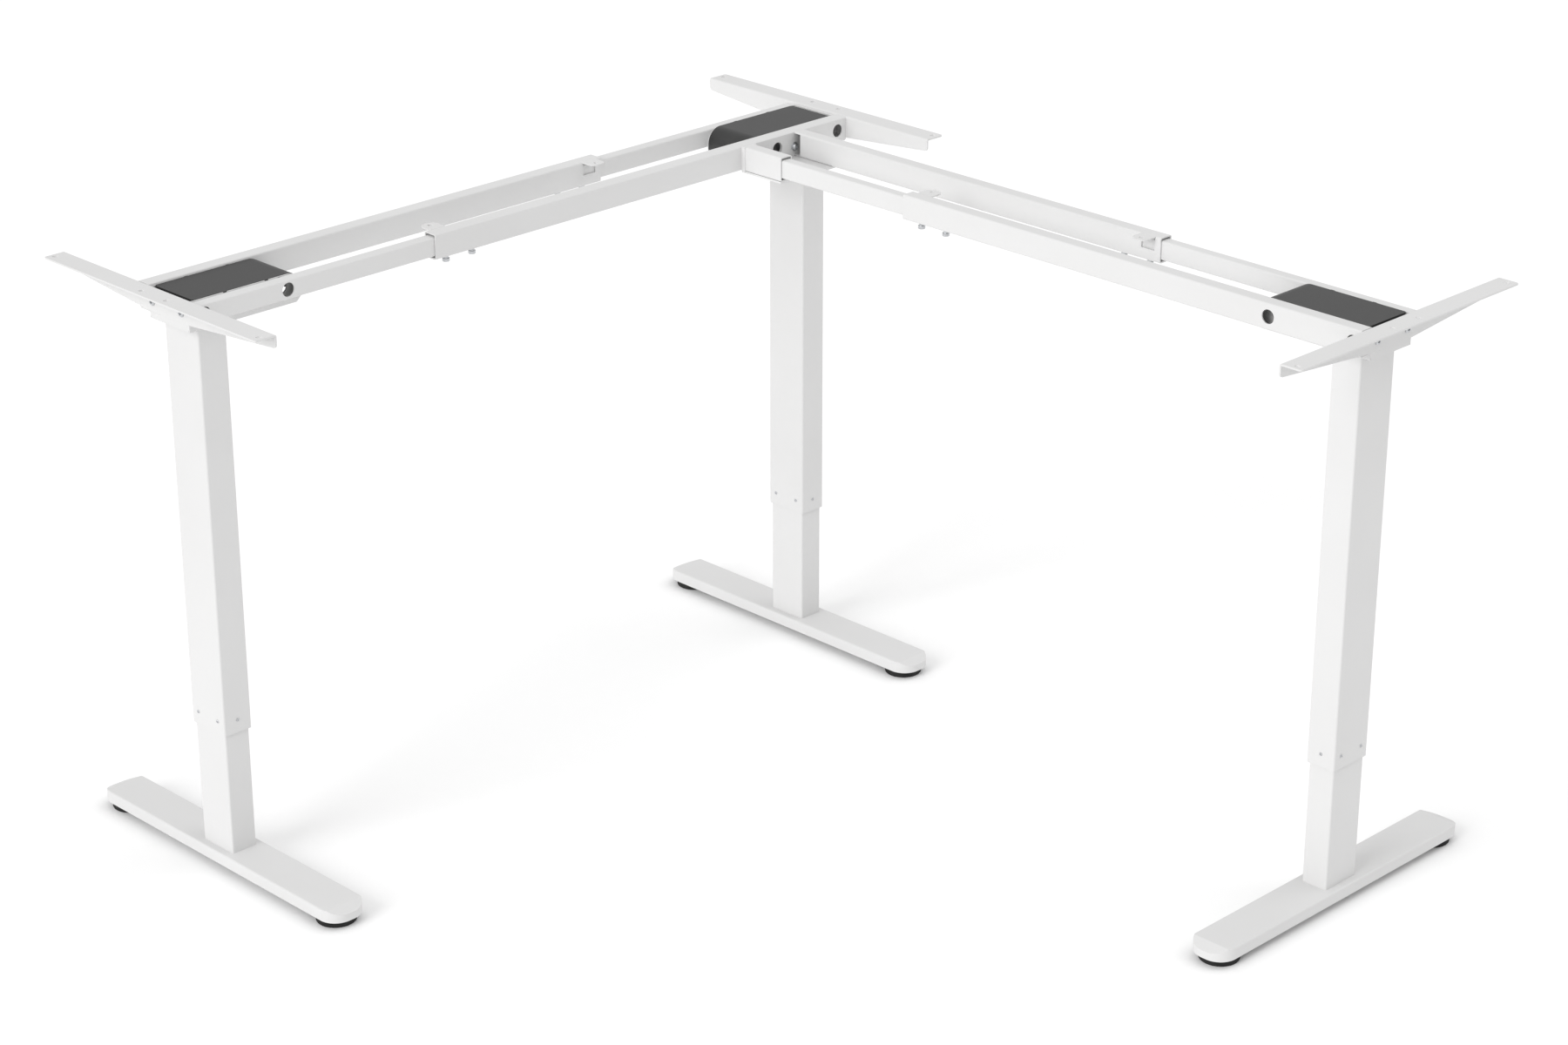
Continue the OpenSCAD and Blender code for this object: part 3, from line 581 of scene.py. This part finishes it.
def read_screw(points):
    """A screw's head seat, the way its head faces, its head height, shank length and head radius."""
    low = Vector([min(p[i] for p in points) for i in range(3)])
    high = Vector([max(p[i] for p in points) for i in range(3)])
    centre = (low + high) / 2

    def reach(p, axis):
        offset = p - centre
        offset[axis] = 0
        return offset.length

    axis = min(range(3), key=lambda i: len({round(reach(p, i) / (0.05 * MM)) for p in points}))
    radius = max(reach(p, axis) for p in points)
    rim = [p[axis] for p in points if reach(p, axis) > 0.95 * radius]
    head_is_high = sum(rim) / len(rim) > centre[axis]
    seat, way = centre.copy(), Vector((0, 0, 0))
    seat[axis] = min(rim) if head_is_high else max(rim)
    way[axis] = 1 if head_is_high else -1
    shank = abs((low if head_is_high else high)[axis] - seat[axis])
    return {"seat": seat, "way": way, "head": max(rim) - min(rim), "shank": shank, "radius": radius}


def screws_in(node):
    return [read_screw(points) for points in islands(node)]


for leg in legs:
    found = screws_in(f"{leg.name}_screws")
    below = screws_in(f"{leg.name}_foot_screws")
    print(leg.name, "screws", len(found), "in the head,", len(below), "in the foot")

# %% [markdown]
# Low button heads hold the tabletop bracket, and tall cap heads clamp the telescoping rails from
# below. These two share a CAD node, where the button heads face sideways and the cap heads don't.
# The screws in the foot, which hold the column, have a node to themselves. Each kind is frozen by
# itself, because each has its own head and socket.

# %% Rail, bracket and foot screws
def socket_screws(name, body, found, shank, chamfer, socket, socket_depth, *nodes):
    """Screws of one kind, each at its own place, as one piece."""
    one = found[0]
    cloud = screw_points(name, [(screw["seat"], screw["way"]) for screw in found])
    piece = freeze(name, SCREW, cloud, finishes["zinc_plate"], head_radius=one["radius"],
                   head_height=one["head"], chamfer=chamfer, shank_radius=shank,
                   shank_length=one["shank"], socket=socket, socket_depth=socket_depth)
    finish_piece(piece, body, "zinc_plate", *nodes)


for leg in legs:
    head, lower = f"{leg.name}_head", f"{leg.name}_lower"
    found = screws_in(f"{leg.name}_screws")
    bolt_radius = min(screw["radius"] for screw in found) + 0.5 * MM
    button = [screw for screw in found if screw["radius"] < bolt_radius and screw["way"].z == 0]
    cap = [screw for screw in found if screw["way"].z != 0]
    socket_screws(f"{leg.name}_bracket_screws", head, button, 4 * MM, 1.3 * MM, 2.9 * MM, 1.7 * MM,
                  f"{leg.name}_screws")
    socket_screws(f"{leg.name}_clamp_screws", head, cap, 4 * MM, 0.7 * MM, 3.4 * MM, 3.2 * MM)
    socket_screws(f"{leg.name}_base_screws", lower, screws_in(f"{leg.name}_foot_screws"), 3 * MM,
                  0.8 * MM, 2.3 * MM, 1.8 * MM, f"{leg.name}_foot_screws")

# %% [markdown]
# Many turned pieces have no repeating part, so a tree would only make them longer. They are lathe
# work: an outline of radius against height is swung round an axis. Ends on the axis close in a
# single point.

# %% Lathe
def arc(centre, radius, start, end, steps=6):
    """Points of an arc, angles in degrees, as radius and height pairs."""
    angles = [math.radians(start + (end - start) * i / steps) for i in range(steps + 1)]
    return [(centre[0] + radius * math.cos(a), centre[1] + radius * math.sin(a)) for a in angles]


def lathe(name, outline, material, place, segments=72):
    """Swings an outline in millimetres round Z and puts it in place."""
    work = bmesh.new()
    rings = []
    for radius, height in outline:
        steps = segments if radius > 0 else 1
        turns = [2 * math.pi * i / steps for i in range(steps)]
        rings.append([work.verts.new((radius * MM * math.cos(a), radius * MM * math.sin(a), height * MM))
                      for a in turns])
    for a, b in zip(rings, rings[1:]):
        for i in range(segments):
            loop = [a[i % len(a)], a[(i + 1) % len(a)], b[(i + 1) % len(b)], b[i % len(b)]]
            corners = list(dict.fromkeys(loop))
            if len(corners) > 2:
                work.faces.new(corners)
    mesh = bpy.data.meshes.new(name)
    work.to_mesh(mesh)
    work.free()
    mesh.transform(place)
    tidy_mesh(mesh)
    mesh.materials.append(material)
    piece = bpy.data.objects.new(name, mesh)
    link(piece)
    return piece

# %% [markdown]
# One more screw is at the joint of the two arms. It has a domed head on a round washer, so its rim is
# the widest in the corner's node, and that is how it is found. Screw and washer are made on the lathe.

# %% The corner joint's dome screw on its washer
dome_screw = max(screws_in("corner_screws"), key=lambda screw: screw["radius"])
sheet = dome_screw["head"] / MM
seat_turn = dome_screw["way"].to_track_quat("Z", "Y").to_matrix().to_4x4()
stand = Matrix.Translation(dome_screw["seat"]) @ seat_turn
tip = -dome_screw["shank"] / MM
outline = [(0, tip), (3.5, tip), (4, tip + 0.6), (4, sheet), (5.75, sheet), (5.75, sheet + 0.8)]
outline += arc((2.55, sheet + 0.8), 3.2, 0, 80) + [(2.7, sheet + 4.0), (2.5, sheet + 1.6), (0, sheet + 1.2)]
piece = lathe("corner_joint_screw", outline, finishes["zinc_plate"], stand, segments=48)
finish_piece(piece, "corner_head", "zinc_plate")
rim = dome_screw["radius"] / MM
outline = [(4.2, 0), (rim - 0.3, 0), (rim, 0.3), (rim, sheet - 0.4), (rim - 0.4, sheet), (4.6, sheet),
           (4.2, sheet - 0.4), (4.2, 0)]
piece = lathe("corner_joint_washer", outline, finishes["zinc_plate"], stand)
finish_piece(piece, "corner_head", "zinc_plate")

# %% [markdown]
# Small screws hold each column together. A pair through each broad face and one through each narrow
# face fix the lower glide, and a pair near the top of each broad face ties the tube to the tray. Their
# places follow from the tube's own box: a fixed height above its lower edge and below the frame's
# top, and a fixed distance either side of the middle.

# %% Column screws
GLIDE_SCREW_HEIGHT = 21 * MM
TRAY_SCREW_DROP = 57 * MM
SCREW_SPREAD = 24 * MM
TOP_SPREAD = 27 * MM


def column_screw_places(leg):
    low = leg.tube_low + GLIDE_SCREW_HEIGHT
    high = leg.top - TRAY_SCREW_DROP
    places = []
    for face in (-1, 1):
        across = leg.turn(0, face, 0)
        for along in (-1, 1):
            places.append((leg.at(along * SCREW_SPREAD, face * leg.half_y, low), across))
            places.append((leg.at(along * TOP_SPREAD, face * leg.half_y, high), across))
        places.append((leg.at(face * leg.half_x, 0, low), leg.turn(face, 0, 0)))
    return places


for leg in legs:
    cloud = screw_points("column", column_screw_places(leg))
    piece = freeze(f"{leg.name}_column_screws", SCREW, cloud, finishes["zinc_plate"],
                   head_radius=2.7 * MM, head_height=1.2 * MM, chamfer=0.6 * MM, shank_radius=1.6 * MM,
                   shank_length=1.3 * MM, socket=1.2 * MM, socket_depth=0.6 * MM)
    finish_piece(piece, f"{leg.name}_head", "zinc_plate")

# %% [markdown]
# A levelling pad is a rubber cup moulded on a threaded stud. Its underside has ring-shaped grooves,
# which keep it from sliding on a wet floor, and its rim is rounded above and below.

# %% Levelling pads
PAD_BODIES = {1: "a", 2: "b"}


def pad_outline(radius, height, rim=2.2):
    outline = [(0, 1.0), (6.0, 1.0), (6.6, 0)]
    for groove in (12.0, 19.0):
        outline += [(groove, 0), (groove + 0.5, 1.1), (groove + 1.9, 1.1), (groove + 2.4, 0)]
    outline += arc((radius - rim, rim), rim, -90, 0) + arc((radius - rim, height - rim), rim, 0, 90)
    return outline + [(9.4, height), (8.8, height - 0.6), (0, height - 0.6)]


for leg in legs:
    for number, letter in PAD_BODIES.items():
        node = f"{leg.name}_pad_{number}"
        low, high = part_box(node)
        centre = middle(node)
        place = Matrix.Translation((centre.x, centre.y, low.z))
        piece = lathe(f"{leg.name}_rubber_pad_{letter}", pad_outline((high.x - low.x) / 2 / MM, 14.0),
                      finishes["pad_black"], place, segments=96)
        finish_piece(piece, f"{leg.name}_pad_{letter}", "pad_black", node)

# %% [markdown]
# A thread is a profile that climbs round a core. The Spiral primitive gives the path, and Curve to
# Mesh sweeps a trapezoid along it. Setting the curve's normal to Z Up keeps the trapezoid upright, so
# its flat crest always faces away from the axis. The same tool makes the coarse two-start lead screw,
# the short worm and the fine studs of the pads.

# %% Thread tool
def thread_tool():
    tool = NodeTool("thread", length=0.1, core=0.005, crest=0.007, pitch=0.005, starts=1, crest_share=0.36)
    size = tool.input
    turns = tool.maths("DIVIDE", size["length"] - size["pitch"], size["pitch"] * size["starts"])
    depth = size["crest"] - size["core"]
    path = tool.node("GeometryNodeCurveSpiral", {}, {
        "Resolution": 24, "Rotations": turns, "Start Radius": size["core"] + 0.5 * depth,
        "End Radius": size["core"] + 0.5 * depth, "Height": size["length"] - size["pitch"]})
    path = tool.node("GeometryNodeSetCurveNormal", {"mode": "Z_UP"}, {0: path})
    profile = tool.node("GeometryNodeCurvePrimitiveQuadrilateral", {"mode": "TRAPEZOID"}, {
        "Height": depth * 1.2, "Bottom Width": size["pitch"] * 0.72,
        "Top Width": size["pitch"] * size["crest_share"], "Offset": 0.0})
    profile = tool.moved(profile, "Rotation", z=math.pi / 2)
    ridge = tool.node("GeometryNodeCurveToMesh", {}, {
        "Curve": path, "Profile Curve": profile, "Fill Caps": True})
    ridge = tool.raised(ridge, 0.5 * size["pitch"])
    copies = tool.node("GeometryNodeMeshLine", {"mode": "OFFSET"}, {
        "Count": size["starts"], "Offset": (0, 0, 0)})
    number = tool.node("GeometryNodeInputIndex")
    turn = tool.maths("DIVIDE", number * (2 * math.pi), size["starts"])
    spun = tool.node("GeometryNodeInstanceOnPoints", {}, {
        "Points": copies, "Instance": ridge, "Rotation": tool.vector(0.0, 0.0, turn)})
    core = tool.node("GeometryNodeMeshCylinder", {}, {
        "Vertices": 40, "Radius": size["core"], "Depth": size["length"]})
    core = tool.raised(core, 0.5 * size["length"])
    both = tool.node("GeometryNodeJoinGeometry", {}, {0: [spun, core]})
    return tool.finish(both)


THREAD = thread_tool()


def turned_part(name, tree, slot, body, place, *nodes, **values):
    """A piece that a tree makes from nothing, finished and put on its body."""
    piece = freeze(name, tree, bpy.data.meshes.new("nothing"), finishes[slot], place, **values)
    finish_piece(piece, body, slot, *nodes)


print("thread tool nodes", len(THREAD.nodes))

# %% [markdown]
# A lead screw hangs in each column and turns in the nut of the lower tube, which makes the lift. Its
# upper end carries the worm wheel, whose teeth are copies of one tapered block on a ring of points.
# The screw has two starts of 5 mm pitch, so a turn lifts 10 mm. Both parts ride on the same body.

# %% Lead screws, with their worm wheels
WHEEL_TEETH = 20
WHEEL_DROP = 28 * MM
WHEEL_HALF_WIDTH = 6 * MM


def tooth_tool():
    """A ring of tapered teeth round Z, on a hub."""
    tool = NodeTool("worm_wheel", teeth=WHEEL_TEETH, root=0.0127, tip=0.0145, hub=0.005,
                    half_width=WHEEL_HALF_WIDTH, neck=0.016)
    size = tool.input
    ring = tool.node("GeometryNodeMeshCircle", {}, {
        "Vertices": size["teeth"], "Radius": 0.5 * (size["root"] + size["tip"])})
    number = tool.node("GeometryNodeInputIndex")
    turn = tool.maths("DIVIDE", number * (2 * math.pi), size["teeth"])
    pitch = tool.maths("DIVIDE", (2 * math.pi) * size["root"], size["teeth"])
    tooth = tool.node("GeometryNodeMeshCone", {}, {
        "Vertices": 4, "Side Segments": 1, "Radius Bottom": 0.42 * pitch, "Radius Top": 0.26 * pitch,
        "Depth": (size["tip"] - size["root"]) * 1.15})
    tooth = tool.moved(tooth, "Rotation", z=math.pi / 4)
    stretch = tool.maths("DIVIDE", size["half_width"], 0.3 * pitch)
    tooth = tool.moved(tooth, "Scale", stretch, 1.0, 1.0)
    tooth = tool.moved(tooth, "Rotation", y=math.pi / 2)
    placed = tool.node("GeometryNodeInstanceOnPoints", {}, {
        "Points": ring, "Instance": tooth, "Rotation": tool.vector(0.0, 0.0, turn)})
    blank = tool.node("GeometryNodeMeshCylinder", {}, {
        "Vertices": 80, "Radius": size["root"], "Depth": 2.0 * size["half_width"]})
    hub = tool.node("GeometryNodeMeshCylinder", {}, {
        "Vertices": 48, "Radius": size["hub"], "Depth": size["neck"] + size["half_width"]})
    hub = tool.raised(hub, 0.5 * (size["neck"] - size["half_width"]))
    both = tool.node("GeometryNodeJoinGeometry", {}, {0: [placed, blank, hub]})
    return tool.finish(both)


WHEEL = tooth_tool()
for leg in legs:
    low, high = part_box(f"{leg.name}_lead_screw")
    drive_z = leg.top - WHEEL_DROP
    stand = Matrix.Translation((leg.centre.x, leg.centre.y, low.z))
    turned_part(f"{leg.name}_threaded_screw", THREAD, "bare_steel", f"{leg.name}_screw", stand,
                f"{leg.name}_lead_screw", length=drive_z - WHEEL_HALF_WIDTH - low.z, core=5.6 * MM,
                crest=7.0 * MM, pitch=5 * MM, starts=2)
    stand = Matrix.Translation((leg.centre.x, leg.centre.y, drive_z))
    turned_part(f"{leg.name}_worm_wheel", WHEEL, "bare_steel", f"{leg.name}_screw", stand,
                teeth=WHEEL_TEETH, neck=high.z - drive_z)

# %% [markdown]
# The motor turns a plain shaft, and the worm is a short thread on that shaft, beside the wheel. The
# shaft is lathe work, with a small chamfer at each end. Each pad sits on a stud with a fine thread,
# which is how a fitter levels the foot.

# %% Worms and pad studs
WORM_HALF_LENGTH = 12 * MM
STUD_START = 13 * MM

for leg in legs:
    shaft = f"{leg.name}_worm_shaft"
    centre = middle(shaft)
    length = leg.local_size(shaft).y
    aim = leg.out.to_track_quat("Z", "Y").to_matrix().to_4x4()
    stand = Matrix.Translation(centre - leg.out * length / 2) @ aim
    end = length / MM
    outline = [(0, 0), (2.7, 0), (3, 0.4), (3, end - 0.4), (2.7, end), (0, end)]
    piece = lathe(f"{leg.name}_drive_shaft", outline, finishes["bare_steel"], stand, segments=40)
    finish_piece(piece, f"{leg.name}_worm", "bare_steel", shaft)
    to_wheel = leg.out.dot(centre - leg.centre)
    stand = Matrix.Translation(centre - leg.out * (to_wheel + WORM_HALF_LENGTH)) @ aim
    turned_part(f"{leg.name}_worm_thread", THREAD, "bare_steel", f"{leg.name}_worm", stand,
                length=2 * WORM_HALF_LENGTH, core=3.25 * MM, crest=4.45 * MM, pitch=4.55 * MM, starts=1)
    for number, letter in PAD_BODIES.items():
        pad = f"{leg.name}_pad_{number}"
        centre, top = middle(pad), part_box(pad)[1].z
        stand = Matrix.Translation((centre.x, centre.y, STUD_START))
        turned_part(f"{leg.name}_stud_{letter}", THREAD, "zinc_plate", f"{leg.name}_pad_{letter}", stand,
                    length=top - STUD_START, core=3.3 * MM, crest=3.95 * MM, pitch=1.25 * MM, starts=1)

# %% [markdown]
# The frame is welded where tubes meet plates. A weld bead is a string of overlapping puddles, which
# shows as ripples across it. The path is a few edges that follow the joint. The tool resamples it
# every fraction of a puddle and sweeps a circle whose radius swells and shrinks along the length.
# Powder coat covers it all, so the bead has the frame's own finish.

# %% Weld bead tool
def bead_tool():
    tool = NodeTool("weld_bead", radius=0.0016, puddle=0.0024, ripple=0.12)
    size = tool.input
    path = tool.node("GeometryNodeMeshToCurve", {}, {0: size["Geometry"]})
    path = tool.node("GeometryNodeResampleCurve", {"mode": "LENGTH"}, {
        "Curve": path, "Length": size["puddle"] * 0.25})
    along = tool.node("GeometryNodeSplineParameter", output="Length")
    wave = tool.maths("SINE", tool.maths("DIVIDE", along * (2 * math.pi), size["puddle"]))
    wander = tool.node("ShaderNodeTexNoise", {}, {"Scale": 160.0, "Detail": 1.0})
    swell = 1.0 + size["ripple"] * wave + 0.3 * (wander - 0.5)
    ring = tool.node("GeometryNodeCurvePrimitiveCircle", {}, {"Resolution": 10, "Radius": size["radius"]})
    bead = tool.node("GeometryNodeCurveToMesh", {}, {
        "Curve": path, "Profile Curve": ring, "Scale": swell, "Fill Caps": True})
    return tool.finish(bead)


BEAD = bead_tool()


def path_mesh(name, paths):
    """Edges through the points of each path. A path whose ends meet is closed."""
    verts, edges = [], []
    for path in paths:
        closed = (path[0] - path[-1]).length < 1e-6
        points = path[:-1] if closed else path
        first = len(verts)
        verts += points
        edges += [(first + i, first + i + 1) for i in range(len(points) - 1)]
        if closed:
            edges.append((first + len(points) - 1, first))
    mesh = bpy.data.meshes.new(name)
    mesh.from_pydata(verts, edges, [])
    return mesh


def rounded_loop(leg, half_x, half_y, corner, z, steps=5):
    """A closed rounded rectangle round a leg's axis."""
    points = []
    for sx, sy, start in ((1, 1, 0), (-1, 1, 90), (-1, -1, 180), (1, -1, 270)):
        for i in range(steps + 1):
            a = math.radians(start + 90 * i / steps)
            points.append(leg.at(sx * (half_x - corner) + corner * math.cos(a),
                                 sy * (half_y - corner) + corner * math.sin(a), z))
    return points + [points[0]]


print("bead tool nodes", len(BEAD.nodes))

# %% [markdown]
# A bead runs round the top of each upper tube, where the tray is welded on. Two short ones run across
# the bottoms of the rails, where they meet the bracket. All of them ride on the leg's head.

# %% Weld beads under the trays and at the rails' ends
BEAD_R = 1.5 * MM
SEAM_INSET = 3 * MM
RAIL_ENDS = {
    "corner": ("main_front_sleeve", "main_rear_slider"),
    "left": ("main_front_slider", "main_rear_sleeve"),
    "right": ("side_front_sleeve", "side_rear_slider"),
}


def rail_seam(leg, rail):
    """A path across the bottom of a rail, where it meets the bracket's web."""
    low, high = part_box(rail)
    ends = sorted(((low - leg.centre).dot(leg.side), (high - leg.centre).dot(leg.side)))
    reach = max((low - leg.centre).dot(leg.out), (high - leg.centre).dot(leg.out)) - 0.6 * BEAD_R
    return [leg.at(ends[0] + SEAM_INSET, reach, low.z), leg.at(ends[1] - SEAM_INSET, reach, low.z)]


for leg in legs:
    seams = [rounded_loop(leg, leg.half_x, leg.half_y, 3 * MM, leg.tube_high)]
    seams += [rail_seam(leg, rail) for rail in RAIL_ENDS[leg.name]]
    piece = freeze(f"{leg.name}_weld_beads", BEAD, path_mesh("seams", seams), finishes["powder_white"],
                   radius=BEAD_R)
    finish_piece(piece, f"{leg.name}_head", "powder_white")

# %% [markdown]
# The finished model must not outgrow the design that it stands for. For the low and the high corner
# of the two boxes, the largest gap along any axis is printed in millimetres.

# %% Compare the boxes and finish
visual_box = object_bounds()


growth = [max(abs(a - b) for a, b in zip(c, v)) for c, v in zip(cad_box, visual_box)]
print("growth in mm", [round(g / MM, 2) for g in growth])
